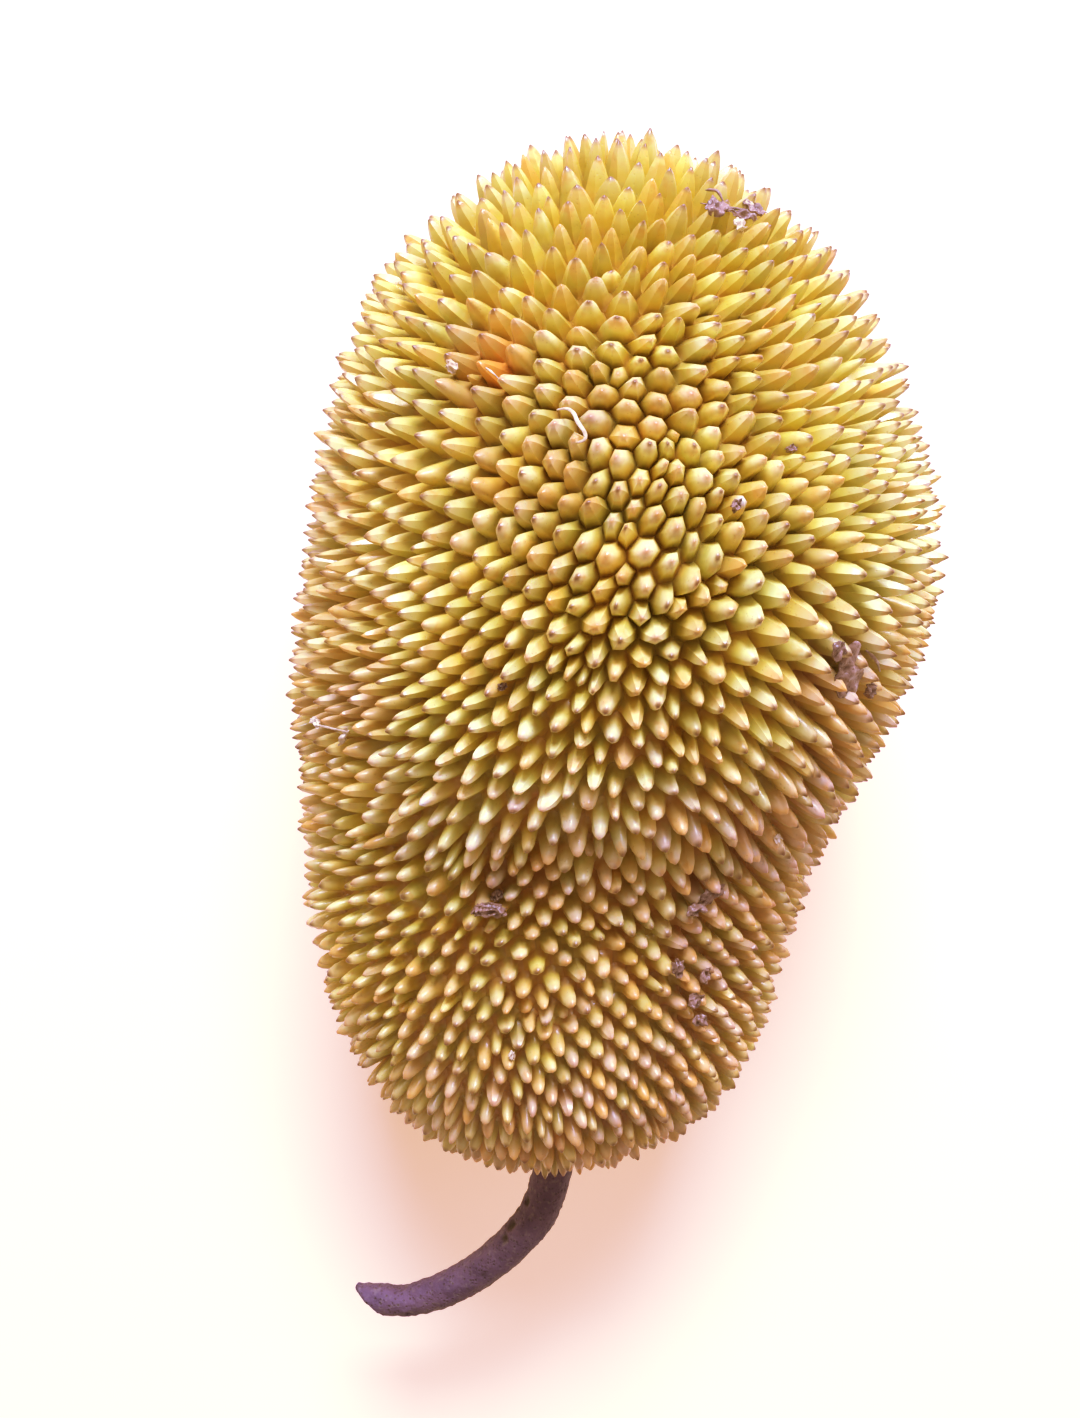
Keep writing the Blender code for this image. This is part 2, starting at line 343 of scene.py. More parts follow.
# Colours up a thorn, from its foot to its tip
RISES = (0.0, 0.12, 0.42, 0.72, 0.90, 1.0)
GOLDEN_SKIN = (
    (0.58, 0.33, 0.075), (0.62, 0.40, 0.070), (0.67, 0.50, 0.095), (0.81, 0.67, 0.22),
    (0.78, 0.58, 0.22), (0.52, 0.26, 0.085),
)
LIME_SKIN = (
    (0.52, 0.35, 0.085), (0.56, 0.43, 0.080), (0.61, 0.53, 0.11), (0.76, 0.70, 0.26),
    (0.75, 0.62, 0.26), (0.54, 0.33, 0.13),
)
ROSY_SKIN = (
    (0.42, 0.19, 0.095), (0.46, 0.23, 0.11), (0.52, 0.31, 0.165), (0.60, 0.41, 0.24),
    (0.56, 0.33, 0.18), (0.44, 0.21, 0.13),
)
# Layers over them: colour, strength and, unless it is even, the rises where it starts and is full
RIPE_LAYER = ((0.72, 0.25, 0.045), 0.85)
# Painted shade: a darker brown at the foot of domes, in the grooves between them
DOME_GROOVE_SHADE = ((0.36, 0.215, 0.075), 0.35, (0.30, 0.0))
FINGER_FOOT = ((0.50, 0.25, 0.10), 0.6, (0.30, 0.0))
GREEN_LAYER = ((0.42, 0.40, 0.11), 0.45, (0.9, 0.4))
BLUSH_LAYER = ((0.70, 0.34, 0.075), 0.6, (0.35, 0.8))
HONEY_LAYER = ((0.92, 0.85, 0.50), 1.0)
# Painted shade: dark brown at the foot of the thorns in the honey patches, in the grooves between them
HONEY_GROOVE_SHADE = ((0.36, 0.18, 0.022), 0.9, (0.30, 0.0))
# Painted light: lifts the colour, blue the most, so thorns turn paler and creamier from low on them up
PAINTED_LIGHT_LAYER = ((1.21, 1.40, 2.0), 1.0, (0.15, 0.5))
WARM_LAYER = ((0.66, 0.34, 0.055), 0.36, (0.2, 0.6))
FRESH_LAYER = ((0.60, 0.53, 0.10), 0.34, (0.2, 0.5))
SCAR_LAYER = ((0.17, 0.068, 0.026), 0.85)
BLEACHED_LAYER = ((0.80, 0.70, 0.60), 1.0, (0.8, 0.95))
FINE_PIT_LAYER = ((0.26, 0.13, 0.05), 0.35)
# Blotches of noise: scale, detail, roughness, and the values where a blotch starts and is full
GREEN_BLOTCHES = (140.0, 2.0, 0.5, 0.46, 0.60)
BLUSH_BLOTCHES = (210.0, 2.0, 0.5, 0.54, 0.64)
GLOSS_BLOTCHES = (700.0, 2.0, 0.5, 0.3, 0.7)
GLOSS_ROUGHNESS = (0.32, 0.48)
# A thorn's chance below or above which it is fresh green, warm orange or bleached at its tip
FRESH_BELOW = 0.22
WARM_ABOVE = 0.74
BLEACHED_ABOVE = 0.996
# How dark and how light single thorns are
CAST = (0.84, 1.13)
# Share of pointed thorns with a scarred tip, and what a full dome or finger adds to it
SCARRED_SHARE = 0.90
SCARRED_MORE = -0.55
# The rises where a scar starts and is full, each with what a full dome adds to it
SCAR_START = (0.86, 0.09)
SCAR_FULL = (0.97, 0.03)
RIND_PITS = {
    "strength": 0.35, "distance": 0.0003, "Scale": 1500.0, "Pit_Size": 0.32, "Share": 0.22, "Grain": 0.35,
}
RIND_SHEEN = {
    "Specular IOR Level": 0.6,
    "Coat Weight": 0.3,
    "Coat Roughness": 0.16,
    "Subsurface Weight": 0.20,
    "Subsurface Radius": (1.0, 0.5, 0.15),
    "Subsurface Scale": 0.0015,
}
# Grey purple bark, paler and dusty in patches, with painted shade darkening its pits and hollows
BARK = {
    "colour": (0.084, 0.042, 0.098),
    "blotches": (
        ((180.0, 3.0, 0.5, 0.35, 0.65), ((0.128, 0.070, 0.128), 1.0)),
        ((700.0, 4.0, 0.5, 0.55, 0.75), ((0.23, 0.18, 0.17), 0.5)),
    ),
    "pits": {
        "strength": 0.6, "distance": 0.0006, "Scale": 1300.0, "Pit_Size": 0.5, "Share": 0.4, "Grain": 0.8,
    },
    "fine_pit_layer": ((0.030, 0.016, 0.014), 0.5),
    "hollow_shade_layer": ((0.035, 0.018, 0.012), 1.0),
    "roughness": 0.72,
}
# Purple brown, dry and shiny, with paler blotches and pale specks
DRIED_SCRAP = {
    "colour": (0.15, 0.080, 0.070),
    "blotches": (
        ((420.0, 4.0, 0.65, 0.38, 0.62), ((0.34, 0.205, 0.170), 1.0)),
        ((1600.0, 2.0, 0.5, 0.65, 0.78), ((0.62, 0.50, 0.47), 1.0)),
    ),
    "pits": {
        "strength": 0.5, "distance": 0.0003, "Scale": 1500.0, "Pit_Size": 0.5, "Share": 0.4, "Grain": 0.8,
    },
    "fine_pit_layer": ((0.06, 0.028, 0.026), 0.5),
    "roughness": 0.30,
}
# Off-white, dull, stained cream in patches
DRIED_SAP = {
    "colour": (0.78, 0.66, 0.50),
    "blotches": (((500.0, 3.0, 0.5, 0.4, 0.65), ((0.62, 0.44, 0.27), 1.0)),),
    "pits": {
        "strength": 0.5, "distance": 0.0003, "Scale": 2000.0, "Pit_Size": 0.4, "Share": 0.4, "Grain": 0.8,
    },
    "fine_pit_layer": ((0.40, 0.30, 0.24), 0.4),
    "roughness": 0.6,
}

# Floor, with a faint glow that gives the paper its peach shade
FLOOR_HALF_WIDTH = 3.0
FLOOR_COLOUR = (0.93, 0.86, 0.86)
FLOOR_ROUGHNESS = 0.9
FLOOR_GLOW = (1.0, 0.50, 0.0)
FLOOR_GLOW_STRENGTH = 0.42

# Lights: name, place, width and height, power in watts, colour
LIGHTS = (
    ("window", (0.06, 0.88, 0.90), (0.6, 0.4), 20.5, (0.98, 0.99, 1.0)),
    ("left_window", (-0.68, 0.42, 0.38), (0.4, 0.3), 0.7, (1.0, 0.90, 0.70)),
    ("right_window", (0.70, 0.40, 0.38), (0.4, 0.3), 1.5, (1.0, 0.90, 0.72)),
)
LIGHT_AIM = (0.0, 0.02, 0.07)
SKY_COLOUR = (1.0, 0.79, 0.70)
SKY_STRENGTH = 0.48

# Camera, straight above
CAMERA_PLACE = (-0.0185, 0.0109, 0.3633)
CAMERA_LENS = 30.0
CAMERA_SENSOR = 36.0

# Grade: where the red bends off and where it ends, points of the blue curve, and the bloom
RED_SHOULDER = ((0.72, 0.72), (1.0, 0.90))
BLUE_CURVE = ((0.06, 0.045), (0.13, 0.13), (0.22, 0.31), (0.35, 0.54), (0.6, 0.80))
BLOOM_THRESHOLD = 0.9
BLOOM_STRENGTH = 0.05
BLOOM_SIZE = 0.3


def smooth(stations, values, at):
    """A cubic curve through the stations, which takes its slopes from their neighbours."""
    slope = np.gradient(values, stations)
    left = np.clip(np.searchsorted(stations, at) - 1, 0, len(stations) - 2)
    step = stations[left + 1] - stations[left]
    part = (at - stations[left]) / step
    rest = 1 - part
    return (
        values[left] * (1 + 2 * part) * rest**2
        + slope[left] * step * part * rest**2
        + values[left + 1] * part**2 * (3 - 2 * part)
        - slope[left + 1] * step * part**2 * rest
    )


def section(place):
    """Sideways centre, half width, height above the equator and half height at each place."""
    table = np.array(SECTIONS)
    return [smooth(table[:, 0], table[:, column], place) for column in range(1, 5)]


def body_points(place, turn):
    """Points of the body. The turn goes round the long axis from the top, towards +X."""
    across, half_width, above, half_height = section(place)
    swelling = sum(np.sin(round_ * turn + along * place + phase) for round_, along, phase in SWELLINGS)
    girth = np.sqrt(np.clip(1 - place**2, 0, 1)) * (1 + SWELLING_SHARE * swelling)
    return np.stack(
        [
            across + half_width * girth * np.sin(turn),
            BODY_MIDDLE + BODY_HALF_LENGTH * place,
            EQUATOR_HEIGHT + above + half_height * girth * np.cos(turn),
        ],
        axis=1,
    )


def unit(vectors):
    return vectors / np.linalg.norm(vectors, axis=1, keepdims=True)


def body_normals(place, turn):
    """Outward directions, from small steps along and round the body."""
    lean = np.arcsin(place)
    ahead = body_points(np.sin(lean + SMALL_STEP), turn)
    behind = body_points(np.sin(lean - SMALL_STEP), turn)
    around = body_points(place, turn + SMALL_STEP) - body_points(place, turn - SMALL_STEP)
    return unit(np.cross(around, ahead - behind))


def ease(low, high, at):
    """0 at low, 1 at high and a smooth S between them."""
    part = np.clip((at - low) / (high - low), 0, 1)
    return part * part * (3 - 2 * part)


def patchy(place, turn, patches, start=0.0):
    """Soft patches on top of a start value: place, its reach, turn, its width in degrees, strength."""
    total = start
    for patch_place, reach, patch_turn, width, strength in patches:
        off = (turn - math.radians(patch_turn) + math.pi) % math.tau - math.pi
        fall = ((place - patch_place) / reach) ** 2
        total = total + strength * np.exp(-fall - (off / math.radians(width)) ** 2)
    return total


def crowding(place, turn):
    """How much denser the thorns stand than at their plain spacing."""
    return np.interp(place, *zip(*CROWDING)) * patchy(place, turn, PATCHES, 1.0)


class Profile:
    """The body's profile along its lean, from end to end."""

    def __init__(self):
        self.lean = np.linspace(-END_LEAN, END_LEAN, PROFILE_STEPS)
        place = np.sin(self.lean)
        _, half_width, _, half_height = section(place)
        self.radius = np.cos(self.lean) * np.sqrt(half_width * half_height)
        run = np.hypot(np.diff(BODY_HALF_LENGTH * place), np.diff(self.radius))
        between = (self.radius[1:] + self.radius[:-1]) / 2
        self.area = math.tau * run * between
        self.stretch = np.concatenate([[0], np.cumsum(run / between)])
        self.stretch -= self.stretch[len(run) // 2]

    def radius_at(self, lean):
        return np.interp(lean, self.lean, self.radius)

    def height_at(self, lean):
        """The height on a ball where neighbouring sites keep the angles that they have on the body."""
        return np.interp(lean, self.lean, self.stretch)


def spiral_sites(profile):
    """A spiral of sites, as dense as the crowding says."""
    turns = np.linspace(-math.pi, math.pi, TURN_STEPS + 1)
    middle = (profile.lean[1:] + profile.lean[:-1]) / 2
    crowd = crowding(np.sin(middle)[:, None], turns[None, :])
    weighted = np.concatenate([[0], np.cumsum(profile.area * crowd.mean(axis=1))])
    count = int(weighted[-1] / (PLAIN_SPACING**2 * HEXAGON_SHARE))
    lean = np.interp((np.arange(count) + 0.5) / count * weighted[-1], weighted, profile.lean)
    share = np.arange(count) * GOLDEN_SHARE % 1
    turn = np.empty(count)
    for index, at in enumerate(lean):
        row = np.concatenate([[0], np.cumsum(crowding(np.sin(at), turns[1:]))])
        turn[index] = np.interp(share[index] * row[-1], row, turns)
    return lean, turn


def evened(profile, lean, turn, size):
    """Neighbours push each other until they stand as far apart as the crowding and their own
    sizes say."""
    for step in range(EVEN_ROUNDS):
        if step % NET_EVERY == 0:
            net = np.array(net_of_sites(turn, profile.height_at(lean)))
            one, other = np.concatenate([net[:, (0, 1)], net[:, (1, 2)], net[:, (2, 0)]]).T
        place = np.sin(lean)
        point = body_points(place, turn)
        spacing = EVEN_SPACING * PLAIN_SPACING * size / np.sqrt(crowding(place, turn))
        apart = point[one] - point[other]
        grain = 1 + GRAIN * (1 - np.exp(-((turn[one] / math.radians(GRAIN_FROM)) ** 2)))
        gap = np.sqrt((apart[:, 1] * grain) ** 2 + (apart[:, 0] ** 2 + apart[:, 2] ** 2) / grain**2)
        wanted = (spacing[one] + spacing[other]) / 2
        push = apart * ((wanted - gap) / gap * EVEN_STIFFNESS)[:, None]
        force = np.zeros_like(point)
        np.add.at(force, one, push)
        np.add.at(force, other, -push)
        ahead = body_points(np.sin(lean + SMALL_STEP), turn) - body_points(np.sin(lean - SMALL_STEP), turn)
        around = body_points(place, turn + SMALL_STEP) - body_points(place, turn - SMALL_STEP)
        lean = lean + 2 * SMALL_STEP * (force * ahead).sum(axis=1) / (ahead**2).sum(axis=1)
        turn = turn + 2 * SMALL_STEP * (force * around).sum(axis=1) / (around**2).sum(axis=1)
        lean = np.clip(lean, -END_LEAN, END_LEAN)
    return lean, turn


def thorn_sites(rng):
    """Places and turns of the thorns, their heights on a ball, and which of them are runts,
    squeezed in between the others."""
    profile = Profile()
    lean, turn = spiral_sites(profile)
    count = len(lean)
    lean, turn = evened(profile, lean, turn, rng.normal(1, SIZE_SPREAD, count))
    spacing = PLAIN_SPACING / np.sqrt(crowding(np.sin(lean), turn))
    lean += rng.normal(0, SITE_SPREAD, count) * spacing / BODY_HALF_LENGTH
    turn += rng.normal(0, SITE_SPREAD, count) * spacing / profile.radius_at(lean)
    beside = rng.choice(count, RUNTS, replace=False)
    way = rng.uniform(0, math.tau, RUNTS)
    reach = RUNT_OFFSET * spacing[beside]
    runt_lean = lean[beside] + reach * np.cos(way) / BODY_HALF_LENGTH
    runt_turn = turn[beside] + reach * np.sin(way) / profile.radius_at(lean[beside])
    lean = np.clip(np.concatenate([lean, runt_lean]), -END_LEAN, END_LEAN)
    turn = np.concatenate([turn, runt_turn])
    return np.sin(lean), turn, profile.height_at(lean), np.arange(len(lean)) >= count


def net_of_sites(turn, height):
    """Triangles that join neighbouring sites, as the hull of the sites on a ball."""
    level = 1 / np.cosh(height)
    ball = np.stack([np.sin(turn) * level, np.tanh(height), np.cos(turn) * level], axis=1)
    net = bmesh.new()
    for point in ball:
        net.verts.new(point)
    net.verts.index_update()
    bmesh.ops.convex_hull(net, input=net.verts)
    bmesh.ops.recalc_face_normals(net, faces=net.faces)
    triangles = [[vert.index for vert in face.verts] for face in net.faces]
    net.free()
    return triangles


def thorn_lengths(place, turn, runt, rng):
    """Shorter at the stalk and on top of the big end, longer on its right, and cut short where
    the stalk grows out."""
    grown = np.clip((place + 1) / (FULL_LENGTH_FROM + 1), 0, 1)
    length = STALK_END_THORN + (THORN_LENGTH - STALK_END_THORN) * grown
    right = np.clip(np.sin(turn), 0, 1)
    length += LONG_THORN_EXTRA * right * np.exp(-(((place - LONG_THORN_PLACE) / LONG_THORN_REACH) ** 2))
    length *= 1 - patchy(place, turn, SHORT_THORNS)
    length *= 1 + rng.normal(0, LENGTH_SPREAD, len(place))
    point = body_points(place, turn)
    beside_stalk = np.hypot(point[:, 0] - STALK_ROUTE[1][0], point[:, 2] - STALK_ROUTE[1][2])
    covered = (beside_stalk < STALK_ROOT_RADIUS + STALK_CLEARANCE) & (place < 0)
    length = np.where(covered, UNDER_STALK_LENGTH, 1) * length
    return np.where(runt, RUNT_LENGTH, 1) * length


def keep_on_points(mesh, name, values):
    kind = "FLOAT" if values.ndim == 1 else "FLOAT_VECTOR"
    field = "value" if values.ndim == 1 else "vector"
    mesh.attributes.new(name, kind, "POINT").data.foreach_set(field, values.ravel().astype(np.float32))


def add_object(name, data):
    item = bpy.data.objects.new(name, data)
    bpy.context.scene.collection.objects.link(item)
    return item


def site_net():
    """A net that joins the thorns' sites, with the thorns' traits on its points."""
    rng = np.random.default_rng(SEED)
    place, turn, height, runt = thorn_sites(rng)
    count = len(place)
    length = thorn_lengths(place, turn, runt, rng)
    normal = body_normals(place, turn)
    axis = normal + rng.normal(0, LEAN_SPREAD, (count, 3))
    axis[:, 1] -= patchy(place, turn, COMBED)
    axis[:, 0] += patchy(place, turn, SWEPT)
    finger = 1 - ease(FINGERS_BELOW, NO_FINGERS_ABOVE, place) + rng.normal(0, FINGER_SPREAD, count)
    finger = np.clip(finger, 0, 1)
    dome = np.clip(patchy(place, turn, DOMES) + rng.normal(0, DOME_SPREAD, count), 0, 1)
    smoothness = np.maximum(finger, DOME_SMOOTHNESS * dome)
    mesh = bpy.data.meshes.new("site_net")
    mesh.from_pydata(body_points(place, turn).tolist(), [], net_of_sites(turn, height))
    keep_on_points(mesh, "length", length)
    keep_on_points(mesh, "axis", unit(axis))
    keep_on_points(mesh, "curl", rng.normal(0, CURL_SPREAD, (count, 3)))
    keep_on_points(mesh, "finger", finger)
    keep_on_points(mesh, "dome", dome * (1 - finger))
    keep_on_points(mesh, "facetted", np.where(rng.uniform(0, 1, count) > smoothness, 1.0, 0.0))
    keep_on_points(mesh, "chance", rng.uniform(0, 1, count))
    keep_on_points(mesh, "chance_too", rng.uniform(0, 1, count))
    for name, patches in (("rosy", ROSY), ("lime", LIME), ("honey_and_groove_shade", HONEY_AND_GROOVE_SHADE), ("painted_light", PAINTED_LIGHT_PATCHES)):
        share = patchy(place, turn, patches) + rng.normal(0, TRAIT_SPREAD, count)
        keep_on_points(mesh, name, np.clip(share, 0, 1))
    alone = np.where(rng.uniform(0, 1, count) < RIPE_SHARE, RIPE_ALONE, 0.0)
    keep_on_points(mesh, "ripe", np.clip(patchy(place, turn, RIPE) + alone, 0, 1))
    return add_object("rind", mesh)


def put(tree, kind, sockets=None, **settings):
    """Adds a node. Its settings go first, because some of them change its sockets."""
    node = tree.nodes.new(kind)
    for name, value in settings.items():
        setattr(node, name, value)
    for name, value in (sockets or {}).items():
        if isinstance(value, bpy.types.NodeSocket):
            tree.links.new(value, node.inputs[name])
        else:
            node.inputs[name].default_value = value
    return node


def reckon(tree, operation, *values):
    return put(tree, "ShaderNodeMath", dict(enumerate(values)), operation=operation).outputs[0]


def bend(tree, operation, *values):
    """As reckon, for vectors."""
    return put(tree, "ShaderNodeVectorMath", dict(enumerate(values)), operation=operation).outputs[0]


def scaled(tree, vector, factor):
    return put(tree, "ShaderNodeVectorMath", {0: vector, "Scale": factor}, operation="SCALE").outputs[0]


def curve(tree, at, points):
    """A value read off a line through the points."""
    node = put(tree, "ShaderNodeFloatCurve", {"Value": at})
    line = node.mapping.curves[0]
    for x, y in points[1:-1]:
        line.points.new(x, y)
    line.points[0].location = points[0]
    line.points[-1].location = points[-1]
    for point in line.points:
        point.handle_type = "VECTOR"
    node.mapping.update()
    return node.outputs[0]


def trait(tree, name, kind="FLOAT"):
    return put(tree, "GeometryNodeInputNamedAttribute", {"Name": name}, data_type=kind).outputs["Attribute"]


def geometry_tree(name, inputs):
    """An empty tree for a mesh and a skin, what it is given, and the identifiers of its inputs."""
    tree = bpy.data.node_groups.new(name, "GeometryNodeTree")
    sockets = {}
    for label, kind in (("Geometry", "Geometry"), *inputs, ("Skin", "Material")):
        socket = tree.interface.new_socket(label, in_out="INPUT", socket_type=f"NodeSocket{kind}")
        sockets[label] = socket.identifier
    tree.interface.new_socket("Geometry", in_out="OUTPUT", socket_type="NodeSocketGeometry")
    return tree, put(tree, "NodeGroupInput").outputs, sockets


def close_tree(tree, geometry, skin):
    real = put(tree, "GeometryNodeRealizeInstances", {"Geometry": geometry})
    covered = put(tree, "GeometryNodeSetMaterial", {"Geometry": real.outputs[0], "Material": skin})
    put(tree, "NodeGroupOutput", {"Geometry": covered.outputs[0]})


def thorn_width(tree, at):
    """The width at a share of the way to the tip: pointed, and nearer a dome's or a finger's
    where those traits are stronger."""
    width = curve(tree, at, POINTED_WIDTHS)
    for name, widths in (("dome", DOME_WIDTHS), ("finger", FINGER_WIDTHS)):
        more = reckon(tree, "SUBTRACT", curve(tree, at, widths), width)
        width = reckon(tree, "MULTIPLY_ADD", more, trait(tree, name), width)
    return width


def ridges(tree):
    """Edges that run up a facetted thorn."""
    ends = put(tree, "GeometryNodeInputMeshEdgeVertices").outputs
    rises = [
        put(
            tree, "GeometryNodeFieldAtIndex", {"Value": trait(tree, "rise"), "Index": ends[name]},
            data_type="FLOAT", domain="POINT",
        ).outputs[0]
        for name in ("Vertex Index 1", "Vertex Index 2")
    ]
    climb = reckon(tree, "ABSOLUTE", reckon(tree, "SUBTRACT", *rises))
    climbs = reckon(tree, "GREATER_THAN", climb, LEAST_CLIMB)
    return reckon(tree, "MULTIPLY", climbs, reckon(tree, "GREATER_THAN", trait(tree, "facetted"), 0.5))


def thorn_tree():
    """Grows a thorn from every cell round a site: rings of faces, each farther out and narrower."""
    tree, given, sockets = geometry_tree(
        "thorns", (("Rings", "Int"), ("Length Scale", "Float"), ("Wobble", "Float"))
    )
    cells = put(tree, "GeometryNodeDualMesh", {"Mesh": given["Geometry"]})
    bare = put(
        tree, "GeometryNodeStoreNamedAttribute",
        {"Geometry": cells.outputs[0], "Name": "rise", "Value": 0.0}, data_type="FLOAT", domain="POINT",
    )
    start = put(tree, "GeometryNodeRepeatInput")
    end = put(tree, "GeometryNodeRepeatOutput")
    start.pair_with_output(end)
    end.repeat_items.new("BOOLEAN", "Top")
    tree.links.new(given["Rings"], start.inputs["Iterations"])
    tree.links.new(bare.outputs[0], start.inputs["Geometry"])
    start.inputs["Top"].default_value = True

    step = start.outputs["Iteration"]
    before = reckon(tree, "DIVIDE", step, given["Rings"])
    after = reckon(tree, "DIVIDE", reckon(tree, "ADD", step, 1.0), given["Rings"])
    height_before = curve(tree, before, RING_HEIGHTS)
    height_after = curve(tree, after, RING_HEIGHTS)
    narrowing = reckon(tree, "DIVIDE", thorn_width(tree, after), thorn_width(tree, before))
    way = bend(
        tree, "ADD", trait(tree, "axis", "FLOAT_VECTOR"),
        scaled(tree, trait(tree, "curl", "FLOAT_VECTOR"), height_after),
    )
    rise = reckon(tree, "SUBTRACT", height_after, height_before)
    reach = reckon(
        tree, "MULTIPLY", reckon(tree, "MULTIPLY", trait(tree, "length"), given["Length Scale"]), rise
    )
    grown = put(
        tree, "GeometryNodeExtrudeMesh",
        {"Mesh": start.outputs["Geometry"], "Selection": start.outputs["Top"],
         "Offset": scaled(tree, way, reach), "Offset Scale": 1.0, "Individual": True},
        mode="FACES",
    )
    narrowed = put(
        tree, "GeometryNodeScaleElements",
        {"Geometry": grown.outputs["Mesh"], "Selection": grown.outputs["Top"], "Scale": narrowing},
        domain="FACE", scale_mode="UNIFORM",
    )
    marked = put(
        tree, "GeometryNodeStoreNamedAttribute",
        {"Geometry": narrowed.outputs[0], "Selection": grown.outputs["Top"], "Name": "rise",
         "Value": height_after},
        data_type="FLOAT", domain="POINT",
    )
    tree.links.new(marked.outputs[0], end.inputs["Geometry"])
    tree.links.new(grown.outputs["Top"], end.inputs["Top"])

    unevenness = put(
        tree, "ShaderNodeTexNoise", {"Scale": WOBBLE_SCALE, "Detail": 1.0}, noise_dimensions="3D"
    ).outputs["Color"]
    push = scaled(
        tree, bend(tree, "SUBTRACT", unevenness, (0.5, 0.5, 0.5)),
        reckon(tree, "MULTIPLY", given["Wobble"], 2.0),
    )
    uneven = put(
        tree, "GeometryNodeSetPosition", {"Geometry": end.outputs["Geometry"], "Offset": push}
    )
    rounded = put(tree, "GeometryNodeSetShadeSmooth", {"Geometry": uneven.outputs[0]})
    foot = reckon(tree, "LESS_THAN", trait(tree, "rise"), LEAST_CLIMB)
    crisp = reckon(tree, "MAXIMUM", foot, ridges(tree))
    creased = put(
        tree, "GeometryNodeStoreNamedAttribute",
        {"Geometry": rounded.outputs[0], "Name": "sharp_edge", "Value": crisp},
        data_type="BOOLEAN", domain="EDGE",
    )
    close_tree(tree, creased.outputs[0], given["Skin"])
    return tree, sockets


def settled(item):
    """The object's evaluated form as a plain mesh, without its modifiers."""
    depsgraph = bpy.context.evaluated_depsgraph_get()
    mesh = bpy.data.meshes.new_from_object(item.evaluated_get(depsgraph))
    mesh.name = item.name
    item.modifiers.clear()
    item.data = mesh
    return item


def rest_flat(mesh):
    """Cuts off what reaches below the surface, and closes the thorns that are cut."""
    worked = bmesh.new()
    worked.from_mesh(mesh)
    everything = [*worked.verts, *worked.edges, *worked.faces]
    bmesh.ops.bisect_plane(
        worked, geom=everything, plane_co=(0, 0, 0), plane_no=(0, 0, -1), clear_outer=True
    )
    open_edges = [edge for edge in worked.edges if edge.is_boundary]
    bmesh.ops.holes_fill(worked, edges=open_edges, sides=0)
    worked.to_mesh(mesh)
    worked.free()


def make_rind(skin):
    item = site_net()
    tree, sockets = thorn_tree()
    grow = item.modifiers.new("thorns", "NODES")
    grow.node_group = tree
    grow[sockets["Rings"]] = THORN_RINGS
    grow[sockets["Length Scale"]] = 1.0
    grow[sockets["Wobble"]] = WOBBLE
    grow[sockets["Skin"]] = skin
    settled(item)
    rest_flat(item.data)
    return item


def fresh_material(name):
    material = bpy.data.materials.new(name)
    material.use_nodes = True
    return material, material.node_tree, material.node_tree.nodes["Principled BSDF"]


def ramp(tree, at, stops):
    """Colours along a value."""
    node = put(tree, "ShaderNodeValToRGB", {"Fac": at})
    while len(node.color_ramp.elements) < len(stops):
        node.color_ramp.elements.new(0.5)
    for element, (position, colour) in zip(node.color_ramp.elements, stops):
        element.position = position
        element.color = (*colour, 1.0)
    return node.outputs["Color"]


def tint(tree, share, under, over, mode="MIX"):
    node = put(tree, "ShaderNodeMix", data_type="RGBA", blend_type=mode)
    for socket, value in ((node.inputs["Factor"], share), (node.inputs[6], under), (node.inputs[7], over)):
        if isinstance(value, bpy.types.NodeSocket):
            tree.links.new(value, socket)
        elif isinstance(value, tuple):
            socket.default_value = (*value, 1.0)
        else:
            socket.default_value = value
    return node.outputs[2]


def surface_trait(tree, name):
    return put(tree, "ShaderNodeAttribute", attribute_name=name).outputs["Fac"]


def place_on(tree):
    return put(tree, "ShaderNodeTexCoord").outputs["Object"]


def stretch(tree, value, low, high, to_low=0.0, to_high=1.0):
    return put(
        tree, "ShaderNodeMapRange",
        {"Value": value, "From Min": low, "From Max": high, "To Min": to_low, "To Max": to_high},
    ).outputs["Result"]


def blotches(tree, pattern, low=0.0, high=1.0):
    """Noise on the object's own coordinates: low outside its blotches and high inside them."""
    scale, detail, roughness, start, full = pattern
    noisy = put(
        tree, "ShaderNodeTexNoise",
        {"Vector": place_on(tree), "Scale": scale, "Detail": detail, "Roughness": roughness},
    )
    return stretch(tree, noisy.outputs["Fac"], start, full, low, high)


def layered(tree, colour, layer, *masks, mode="MIX"):
    """A layer over a colour, as far as its strength, its rises and the masks let it."""
    tone, share, *rises = layer
    for start, full in rises:
        share = reckon(tree, "MULTIPLY", share, stretch(tree, surface_trait(tree, "rise"), start, full))
    for mask in masks:
        share = reckon(tree, "MULTIPLY", share, mask)
    return tint(tree, share, colour, tone, mode)


def shader_group(name, inputs, outputs):
    """A group of shader nodes that takes in numbers, with these defaults, and gives numbers."""
    tree = bpy.data.node_groups.new(name, "ShaderNodeTree")
    for label, value in inputs:
        socket = tree.interface.new_socket(label, in_out="INPUT", socket_type="NodeSocketFloat")
        socket.default_value = value
    for label in outputs:
        tree.interface.new_socket(label, in_out="OUTPUT", socket_type="NodeSocketFloat")
    return tree, put(tree, "NodeGroupInput").outputs, put(tree, "NodeGroupOutput").inputs


